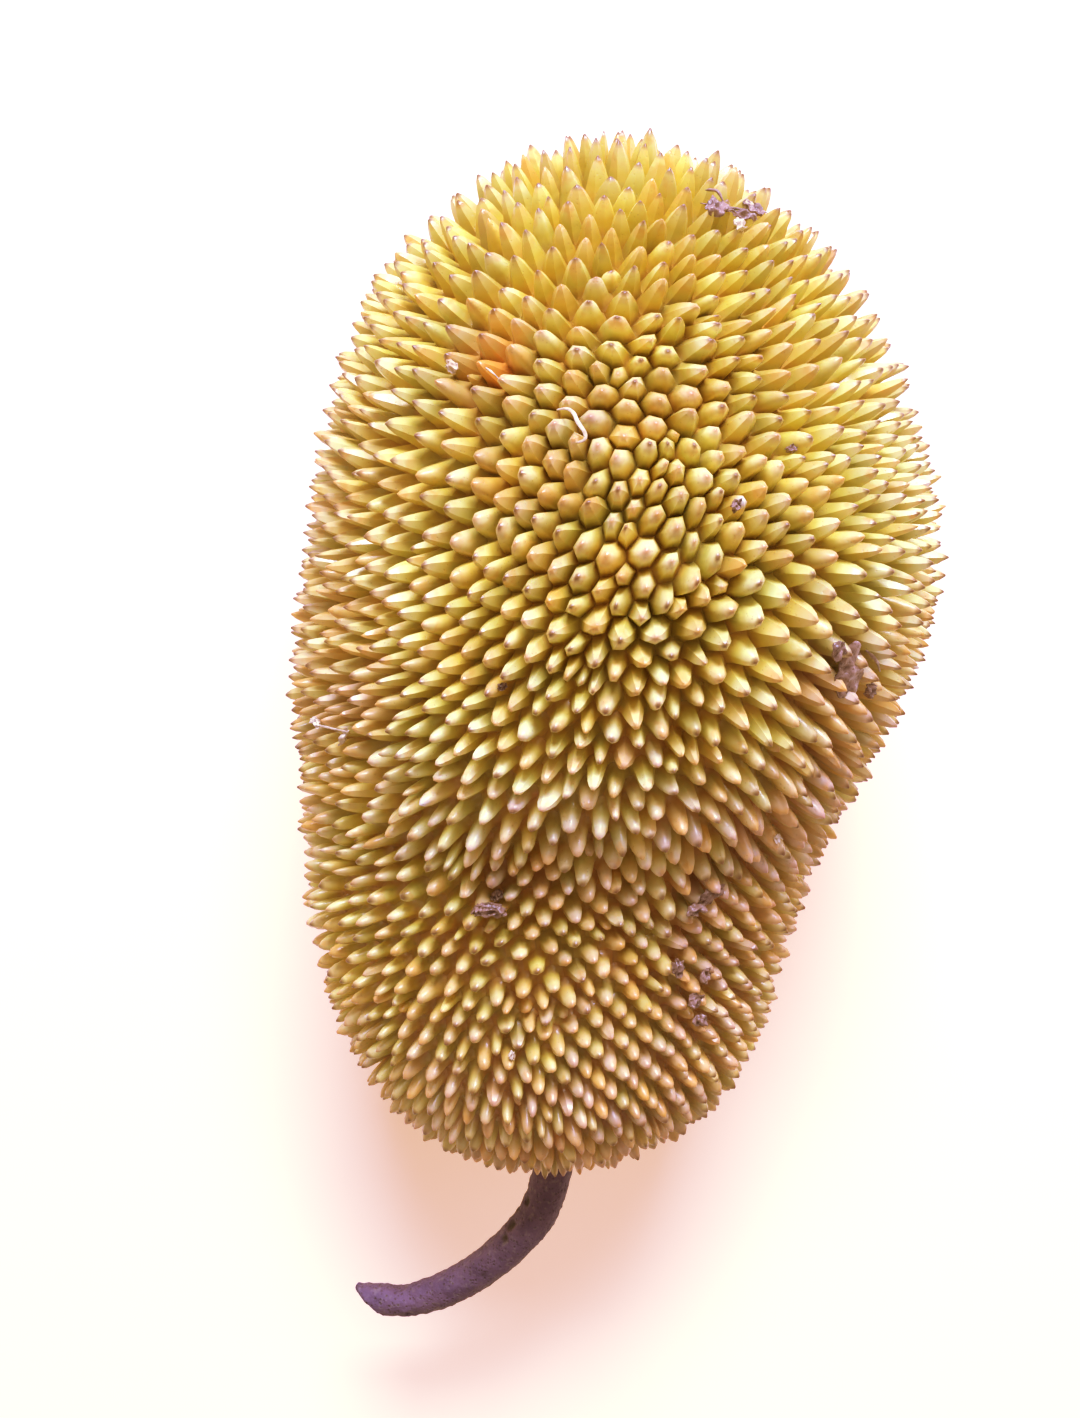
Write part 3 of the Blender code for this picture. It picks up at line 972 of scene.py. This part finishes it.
def fine_pits():
    """Small scattered pits: a mask that is 1 in them, and a height for bump."""
    inputs = (("Scale", 900.0), ("Pit Size", 0.3), ("Share", 0.5), ("Grain", 0.3))
    tree, given, made = shader_group("fine pits", inputs, ("Mask", "Height"))
    spots = put(tree, "ShaderNodeTexVoronoi", {"Vector": place_on(tree), "Scale": given["Scale"]}).outputs
    chosen = put(tree, "ShaderNodeSeparateColor", {"Color": spots["Color"]}).outputs["Red"]
    near = put(
        tree, "ShaderNodeMapRange",
        {"Value": spots["Distance"], "From Min": given["Pit Size"], "From Max": 0.0},
    ).outputs["Result"]
    mask = reckon(tree, "MULTIPLY", near, reckon(tree, "LESS_THAN", chosen, given["Share"]))
    grain = put(
        tree, "ShaderNodeTexNoise",
        {"Vector": place_on(tree), "Scale": given["Scale"], "Detail": 3.0},
    ).outputs["Fac"]
    height = reckon(tree, "MULTIPLY_ADD", grain, given["Grain"], reckon(tree, "MULTIPLY", mask, -1.0))
    tree.links.new(mask, made["Mask"])
    tree.links.new(height, made["Height"])
    return tree


def pitted(tree, pits, shader, strength, distance, **values):
    """Places the pits in a material, as bump, and gives their mask."""
    group = put(tree, "ShaderNodeGroup", node_tree=pits)
    for name, value in values.items():
        group.inputs[name.replace("_", " ")].default_value = value
    bump = put(
        tree, "ShaderNodeBump",
        {"Strength": strength, "Distance": distance, "Height": group.outputs["Height"]},
    )
    tree.links.new(bump.outputs["Normal"], shader.inputs["Normal"])
    return group.outputs["Mask"]


def rind_skin(pits):
    """Brown at the foot, yellow up the thorn and tan at its tip, with lime and rosy patches. Over
    them: orange spots, painted shade in the grooves at the foot of domes, a brown foot on fingers,
    green and orange blotches, honey yellow patches with painted shade in the grooves at their
    thorns' feet, painted light that makes the thorns paler and creamier in patches, single orange
    and green thorns, a darker or lighter tone for each thorn, dried scars on most tips, a few
    bleached tips, and fine pits."""
    material, tree, shader = fresh_material("rind skin")
    rise, chance, chance_too, dome, finger = (
        surface_trait(tree, name) for name in ("rise", "chance", "chance_too", "dome", "finger")
    )
    lime, rosy, ripe, honey_and_groove_shade, painted_light = (
        surface_trait(tree, name) for name in ("lime", "rosy", "ripe", "honey_and_groove_shade", "painted_light")
    )
    golden_skin, lime_skin, rosy_skin = (
        ramp(tree, rise, list(zip(RISES, colours))) for colours in (GOLDEN_SKIN, LIME_SKIN, ROSY_SKIN)
    )
    colour = tint(tree, lime, golden_skin, lime_skin)
    colour = tint(tree, rosy, colour, rosy_skin)
    colour = layered(tree, colour, RIPE_LAYER, ripe)
    # Painted shade in the grooves at the foot of domes
    colour = layered(tree, colour, DOME_GROOVE_SHADE, dome)
    colour = layered(tree, colour, FINGER_FOOT, finger)
    colour = layered(tree, colour, GREEN_LAYER, blotches(tree, GREEN_BLOTCHES))
    colour = layered(tree, colour, BLUSH_LAYER, blotches(tree, BLUSH_BLOTCHES))
    colour = layered(tree, colour, HONEY_LAYER, honey_and_groove_shade, mode="MULTIPLY")
    # Painted shade in the grooves between the thorns of the honey patches
    colour = layered(tree, colour, HONEY_GROOVE_SHADE, honey_and_groove_shade)
    # Painted light: paler, creamier thorns in patches
    colour = layered(tree, colour, PAINTED_LIGHT_LAYER, painted_light, mode="MULTIPLY")
    colour = layered(tree, colour, WARM_LAYER, reckon(tree, "GREATER_THAN", chance_too, WARM_ABOVE))
    colour = layered(tree, colour, FRESH_LAYER, reckon(tree, "LESS_THAN", chance_too, FRESH_BELOW))
    colour = tint(tree, 1.0, colour, stretch(tree, chance, 0.0, 1.0, *CAST), "MULTIPLY")
    smoothness = reckon(tree, "ADD", finger, dome)
    likely = reckon(tree, "MULTIPLY_ADD", smoothness, SCARRED_MORE, SCARRED_SHARE)
    scar_start, scar_full = (
        reckon(tree, "MULTIPLY_ADD", dome, more, at) for at, more in (SCAR_START, SCAR_FULL)
    )
    scarred = reckon(tree, "LESS_THAN", chance_too, likely)
    colour = layered(tree, colour, SCAR_LAYER, scarred, stretch(tree, rise, scar_start, scar_full))
    bleached = reckon(tree, "GREATER_THAN", chance_too, BLEACHED_ABOVE)
    colour = layered(tree, colour, BLEACHED_LAYER, bleached)
    colour = layered(tree, colour, FINE_PIT_LAYER, pitted(tree, pits, shader, **RIND_PITS))
    tree.links.new(colour, shader.inputs["Base Color"])
    gloss = blotches(tree, GLOSS_BLOTCHES, *GLOSS_ROUGHNESS)
    tree.links.new(gloss, shader.inputs["Roughness"])
    for name, value in RIND_SHEEN.items():
        shader.inputs[name].default_value = value
    return material


def dry_skin(name, look, pits):
    """A colour with blotches over it, fine pits and, where the look has them, hollows darkened with painted
    shade.
    """
    material, tree, shader = fresh_material(name)
    colour = look["colour"]
    for pattern, layer in look["blotches"]:
        colour = layered(tree, colour, layer, blotches(tree, pattern))
    spots = pitted(tree, pits, shader, **look["pits"])
    colour = layered(tree, colour, look["fine_pit_layer"], spots)
    # Painted shade darkening the pits and hollows
    if "hollow_shade_layer" in look:
        colour = layered(tree, colour, look["hollow_shade_layer"], surface_trait(tree, "hollow"))
    tree.links.new(colour, shader.inputs["Base Color"])
    shader.inputs["Roughness"].default_value = look["roughness"]
    return material


def stalk_line(count, reach):
    """Points along the stalk's centre line, from its root to this share of its length."""
    route = np.array(STALK_ROUTE)
    marks = np.linspace(0, 1, len(route))
    at = np.linspace(0, reach, count)
    return np.stack([smooth(marks, route[:, axis], at) for axis in range(3)], axis=1)


def tube_round(line, radii, sides, slant=0.0):
    """A closed tube round a line. The slant moves the last ring's sides along it."""
    tube = bmesh.new()
    rings = []
    for index, centre in enumerate(line):
        along = Vector(line[min(index + 1, len(line) - 1)] - line[max(index - 1, 0)]).normalized()
        side = along.cross(Vector((0, 0, 1))).normalized()
        up = side.cross(along)
        slanted = max(0.0, 1 - (len(line) - 1 - index) / STALK_SLANT_RINGS) ** 2
        ring = []
        for corner in range(sides):
            angle = math.tau * corner / sides
            offset = side * math.cos(angle) + up * math.sin(angle)
            offset -= along * slant * math.cos(angle) * slanted
            ring.append(tube.verts.new(Vector(centre) + offset * radii[index]))
        rings.append(ring)
    for ring, following in zip(rings, rings[1:]):
        for corner in range(sides):
            after = (corner + 1) % sides
            tube.faces.new((ring[corner], ring[after], following[after], following[corner]))
    tube.faces.new(rings[0])
    tube.faces.new(rings[-1])
    bmesh.ops.recalc_face_normals(tube, faces=tube.faces)
    return tube


def roughen_tree():
    """Moves a surface in and out: broad lumps, small warts and a few pits. It keeps where the points lie in
    pits, as a mask for painted shade there.
    """
    sizes = ("Lump Scale", "Lump Height", "Wart Scale", "Wart Height", "Pit Scale", "Pit Depth")
    tree, given, sockets = geometry_tree("rough bark", [(size, "Float") for size in sizes])
    lumps = put(tree, "ShaderNodeTexNoise", {"Scale": given["Lump Scale"], "Detail": 2.0}).outputs["Fac"]
    warts = put(
        tree, "ShaderNodeTexVoronoi", {"Scale": given["Wart Scale"]}, feature="SMOOTH_F1"
    ).outputs["Distance"]
    pits = put(tree, "ShaderNodeTexVoronoi", {"Scale": given["Pit Scale"]}).outputs
    cell = put(tree, "FunctionNodeSeparateColor", {"Color": pits["Color"]}).outputs[0]
    chosen = reckon(tree, "LESS_THAN", cell, PIT_SHARE)
    hollow = reckon(tree, "MULTIPLY", chosen, stretch(tree, pits["Distance"], *PIT_EDGE))
    # Where the surface is sunk in its pits, kept as a mask for painted shade there
    shade_in_hollows = reckon(tree, "MAXIMUM", hollow, trait(tree, "pit"))
    push = reckon(tree, "MULTIPLY", reckon(tree, "SUBTRACT", lumps, LUMP_MIDDLE), given["Lump Height"])
    rounded = stretch(tree, warts, 0.5, 0.0, -0.5, 0.5)
    push = reckon(tree, "MULTIPLY_ADD", rounded, given["Wart Height"], push)
    push = reckon(tree, "SUBTRACT", push, reckon(tree, "MULTIPLY", hollow, given["Pit Depth"]))
    normal = put(tree, "GeometryNodeInputNormal").outputs[0]
    offset = scaled(tree, normal, push)
    moved = put(tree, "GeometryNodeSetPosition", {"Geometry": given["Geometry"], "Offset": offset})
    marked = put(
        tree, "GeometryNodeStoreNamedAttribute",
        {"Geometry": moved.outputs[0], "Name": "hollow", "Value": shade_in_hollows}, data_type="FLOAT", domain="POINT",
    )
    close_tree(tree, marked.outputs[0], given["Skin"])
    return tree, sockets


def roughened(item, tree, sockets, skin, **sizes):
    rough = item.modifiers.new("rough", "NODES")
    rough.node_group = tree
    for name, size in sizes.items():
        rough[sockets[name.replace("_", " ")]] = size
    rough[sockets["Skin"]] = skin
    return settled(item)


def object_from(work, name):
    mesh = bpy.data.meshes.new(name)
    work.to_mesh(mesh)
    work.free()
    mesh.shade_smooth()
    return add_object(name, mesh)


def make_stalk(rough, bark):
    """A bent stalk with lumps, warts and pits. Its cut end is slanted, with a sunk middle."""
    radii = np.interp(np.linspace(0, 1, STALK_RINGS), *zip(*STALK_WIDTHS)) * STALK_ROOT_RADIUS
    line = stalk_line(STALK_RINGS, 1)
    tube = tube_round(line, radii, STALK_SIDES, STALK_CUT_SLANT)
    dip_place, dip_reach, dip_depth = STALK_DIP
    pits = []
    for index, vert in enumerate(tube.verts):
        ring = index // STALK_SIDES
        share = ring / (STALK_RINGS - 1)
        turn = 360 * (index % STALK_SIDES) / STALK_SIDES
        upward = max(0.0, (vert.co.y - line[ring][1]) / radii[ring])
        vert.co.y -= dip_depth * upward * math.exp(-(((share - dip_place) / dip_reach) ** 2))
        near = [
            math.exp(-(((share - place) / length) ** 4) - ((turn - pit_turn) / width) ** 4)
            for place, pit_turn, length, width in STALK_PITS
        ]
        pits.append(max(near))
        vert.co += (Vector(line[ring]) - vert.co).normalized() * STALK_PIT_DEPTH * max(near)
    cut = max(tube.faces, key=lambda face: (len(face.verts), -face.calc_center_median().x))
    for inset, sunk in STALK_CUT_INSETS:
        bmesh.ops.inset_individual(tube, faces=[cut], thickness=inset)
        for vert in cut.verts:
            vert.co -= cut.normal * sunk
    pits += [0.0] * (len(tube.verts) - len(pits))
    item = object_from(tube, "stalk_bark")
    keep_on_points(item.data, "pit", np.array(pits))
    return roughened(item, *rough, bark, **STALK_ROUGHNESS)


def on_canopy(place, turn, lift):
    """Points over the body. A lift of 0 is the body, and 1 is a thorn's length above it."""
    place, turn, lift = (np.atleast_1d(np.asarray(part, float)) for part in (place, turn, lift))
    reach = (THORN_LENGTH * lift)[:, None]
    return body_points(place, turn) + body_normals(place, turn) * reach


def crumpled(work, place, turn, length, width, heading, lift, thickness, seed):
    """Adds one dried scrap among the thorns: a closed crumpled leaf with a ragged edge."""
    start = len(work.verts)
    bmesh.ops.create_icosphere(work, subdivisions=SCRAP_FINENESS, radius=1)
    work.verts.ensure_lookup_table()
    added = work.verts[start:]
    away = Vector([seed * step for step in NOISE_STEP])
    heading = math.radians(heading)
    ball = np.array([vert.co for vert in added])
    flat = [vert.co * Vector((1, 1, 0)) for vert in added]
    fold_along, fold_across = FOLD_SCALES
    ragged = np.array([1 + SCRAP_RAGS * noise.noise(spot * RAG_SCALE + away) for spot in flat])
    folds = np.array(
        [noise.noise(Vector((spot.x * fold_along, spot.y * fold_across, 0)) + away) for spot in flat]
    )
    lumps = np.array([noise.noise(vert.co * LUMP_SCALE + away) for vert in added])
    along = ball[:, 0] * ragged * length / 2
    across = ball[:, 1] * ragged * width / 2
    east = along * math.cos(heading) - across * math.sin(heading)
    north = along * math.sin(heading) + across * math.cos(heading)
    girth = math.cos(math.asin(place)) * THORNY_RADIUS
    plain, lumpy = SCRAP_THICKNESS
    above = ball[:, 2] * thickness * (plain + lumpy * lumps) + folds * SCRAP_FOLD
    points = on_canopy(
        place + north / BODY_HALF_LENGTH, math.radians(turn) + east / girth, lift + above / THORN_LENGTH
    )
    for vert, point in zip(added, points):
        vert.co = point


def strand(work, route, width, thickness):
    """Adds a thin closed strip along (place, turn in degrees, lift) marks on the rind."""
    marks = np.array(route, float)
    stations = np.linspace(0, 1, len(marks))
    at = np.linspace(0, 1, STRAND_STEPS)
    place, turn, lift = (smooth(stations, marks[:, column], at) for column in range(3))
    line = on_canopy(place, np.radians(turn), lift)
    taper = np.sin(np.pi * np.linspace(*STRAND_TAPER, STRAND_STEPS)) ** 0.5
    tube = tube_round(line, width / 2 * taper, STRAND_SIDES)
    normal = body_normals(place, np.radians(turn))
    tube.verts.ensure_lookup_table()
    for index, vert in enumerate(tube.verts):
        step = index // STRAND_SIDES
        centre, up = Vector(line[step]), Vector(normal[step])
        height = (vert.co - centre).dot(up)
        vert.co -= up * height * (1 - thickness / width)
    part = bpy.data.meshes.new("strand")
    tube.to_mesh(part)
    tube.free()
    work.from_mesh(part)


def make_scraps(rough, skin):
    work = bmesh.new()
    for number, scrap in enumerate(SCRAPS):
        crumpled(work, *scrap, FIRST_SCRAP + number)
    for route in SCRAP_STEMS:
        strand(work, route, STEM_WIDTH, STEM_THICKNESS)
    return roughened(object_from(work, "dried_scraps"), *rough, skin, **SCRAP_ROUGHNESS)


def make_flakes(rough, skin):
    work = bmesh.new()
    for number, flake in enumerate(FLAKES):
        crumpled(work, *flake, FIRST_FLAKE + number)
    for route, width in FLAKE_STRIPS:
        strand(work, route, width, width * STRIP_THICKNESS)
    return roughened(object_from(work, "dried_sap"), *rough, skin, **FLAKE_ROUGHNESS)


def loose_bits(work):
    """The mesh's separate bits, each as a list of its points."""
    waiting = set(work.verts)
    bits = []
    for start in work.verts:
        if start not in waiting:
            continue
        waiting.discard(start)
        bit, queue = [], [start]
        while queue:
            vert = queue.pop()
            bit.append(vert)
            for edge in vert.link_edges:
                other = edge.other_vert(vert)
                if other in waiting:
                    waiting.discard(other)
                    queue.append(other)
        bits.append(bit)
    return bits


def lay_on(item, carrier):
    """Moves each bit that hangs free along the line of sight until it lies on the carrier."""
    surface = BVHTree.FromPolygons(
        [vert.co for vert in carrier.data.vertices], [face.vertices for face in carrier.data.polygons]
    )
    work = bmesh.new()
    work.from_mesh(item.data)
    for bit in loose_bits(work):
        if min(surface.find_nearest(vert.co)[3] for vert in bit) < BIT_TOUCH:
            continue
        middle = sum((vert.co for vert in bit), Vector()) / len(bit)
        sight = (middle - Vector(CAMERA_PLACE)).normalized()
        hits = [surface.ray_cast(vert.co, sight)[3] for vert in bit]
        fall = min(hit for hit in hits if hit is not None) + BIT_SINK
        for vert in bit:
            vert.co += sight * fall
    work.to_mesh(item.data)
    work.free()


def lay_floor():
    material, _, shader = fresh_material("floor paper")
    shader.inputs["Base Color"].default_value = (*FLOOR_COLOUR, 1.0)
    shader.inputs["Roughness"].default_value = FLOOR_ROUGHNESS
    shader.inputs["Emission Color"].default_value = (*FLOOR_GLOW, 1.0)
    shader.inputs["Emission Strength"].default_value = FLOOR_GLOW_STRENGTH
    far = FLOOR_HALF_WIDTH
    corners = [(-far, -far, 0), (far, -far, 0), (far, far, 0), (-far, far, 0)]
    mesh = bpy.data.meshes.new("floor")
    mesh.from_pydata(corners, [], [(0, 1, 2, 3)])
    mesh.materials.append(material)
    floor = add_object("floor", mesh)


def hang_light(name, place, size, power, colour):
    lamp = bpy.data.lights.new(name, "AREA")
    lamp.shape = "RECTANGLE"
    lamp.size, lamp.size_y = size
    lamp.energy = power
    lamp.color = colour
    item = add_object(name, lamp)
    item.location = place
    item.rotation_euler = (Vector(LIGHT_AIM) - Vector(place)).to_track_quat("-Z", "Y").to_euler()


def light_the_set():
    scene = bpy.context.scene
    world = bpy.data.worlds.new("studio")
    world.use_nodes = True
    sky = world.node_tree.nodes["Background"]
    sky.inputs["Color"].default_value = (*SKY_COLOUR, 1.0)
    sky.inputs["Strength"].default_value = SKY_STRENGTH
    scene.world = world
    for light in LIGHTS:
        hang_light(*light)
    scene.view_settings.view_transform = "Standard"
    scene.view_settings.look = "None"


def finish_picture():
    """Holds back the brightest reds, bends the blues so that highlights turn cream instead of
    yellow, and adds a faint bloom from the bright paper."""
    scene = bpy.context.scene
    scene.use_nodes = True
    tree = scene.node_tree
    tree.nodes.clear()
    picture = put(tree, "CompositorNodeRLayers").outputs["Image"]
    grade = put(tree, "CompositorNodeCurveRGB", {"Image": picture})
    red, _, blue, _ = grade.mapping.curves
    red.points.new(*RED_SHOULDER[0])
    red.points[-1].location = RED_SHOULDER[1]
    for x, y in BLUE_CURVE:
        blue.points.new(x, y)
    grade.mapping.update()
    glow = put(
        tree, "CompositorNodeGlare", {"Image": grade.outputs["Image"]}, glare_type="BLOOM", quality="HIGH"
    )
    glow.inputs["Threshold"].default_value = BLOOM_THRESHOLD
    glow.inputs["Strength"].default_value = BLOOM_STRENGTH
    glow.inputs["Size"].default_value = BLOOM_SIZE
    put(tree, "CompositorNodeComposite", {"Image": glow.outputs["Image"]})


def set_camera():
    lens = bpy.data.cameras.new("camera")
    lens.lens = CAMERA_LENS
    lens.sensor_width = CAMERA_SENSOR
    camera = add_object("camera", lens)
    camera.location = CAMERA_PLACE
    bpy.context.scene.camera = camera


def main():
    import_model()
    pits = fine_pits()
    rough = roughen_tree()
    rind = make_rind(rind_skin(pits))
    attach(rind, "root")
    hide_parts("fruit")
    stalk = make_stalk(rough, dry_skin("stalk bark skin", BARK, pits))
    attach(stalk, "root")
    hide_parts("stalk")
    scraps = make_scraps(rough, dry_skin("dried scrap", DRIED_SCRAP, pits))
    flakes = make_flakes(rough, dry_skin("dried sap", DRIED_SAP, pits))
    for piece in (scraps, flakes):
        lay_on(piece, rind)
        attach(piece, "root")
    lay_floor()
    light_the_set()
    finish_picture()
    set_camera()


main()
